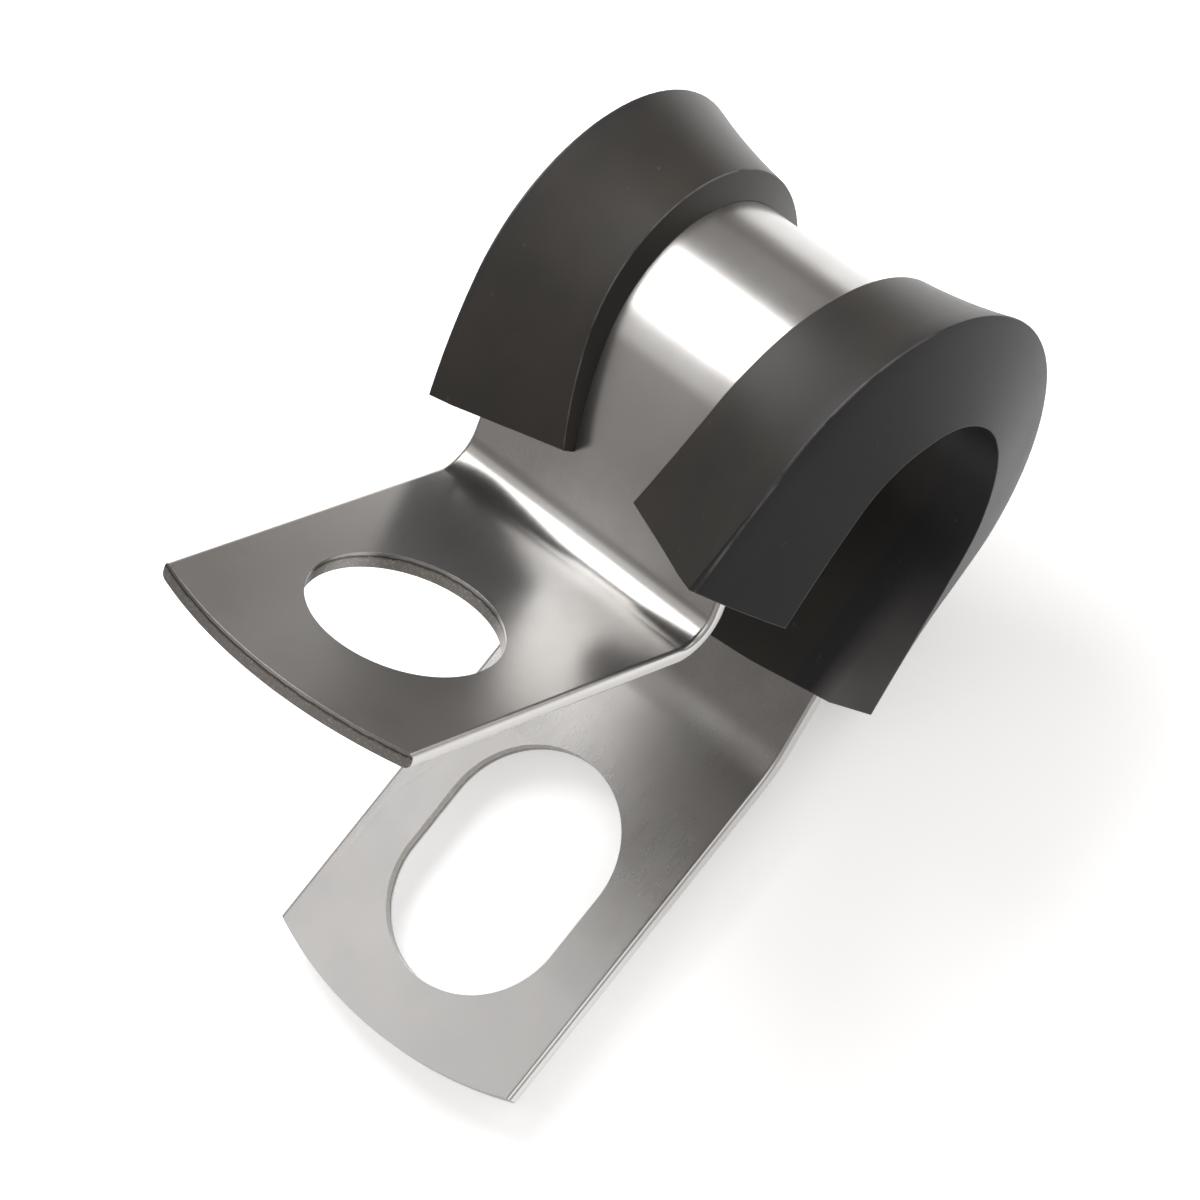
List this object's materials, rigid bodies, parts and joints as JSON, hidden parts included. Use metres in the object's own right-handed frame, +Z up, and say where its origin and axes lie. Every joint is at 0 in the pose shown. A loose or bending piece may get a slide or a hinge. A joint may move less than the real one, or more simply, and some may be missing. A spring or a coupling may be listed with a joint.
{
  "type": "p clip",
  "caption": "Open p clip: a bent stainless band with a slotted lower tab and a round hole in its upper tab, and a black rubber channel that lines the loop for a pipe or cable.",
  "frame": {"origin": "centre of the slotted hole, on the face of the lower tab that lies on the mounting surface", "axes": "+X along the lower tab from its tip towards the loop, +Y across the band along the bore, +Z up from the mounting surface"},
  "size_m": [0.042, 0.022, 0.0323],
  "materials": {
    "band": "satin stainless sheet",
    "liner": "matte black rubber"
  },
  "bodies": {
    "root": {"steel_band": "band", "rubber_liner": "liner"}
  },
  "joints": []
}
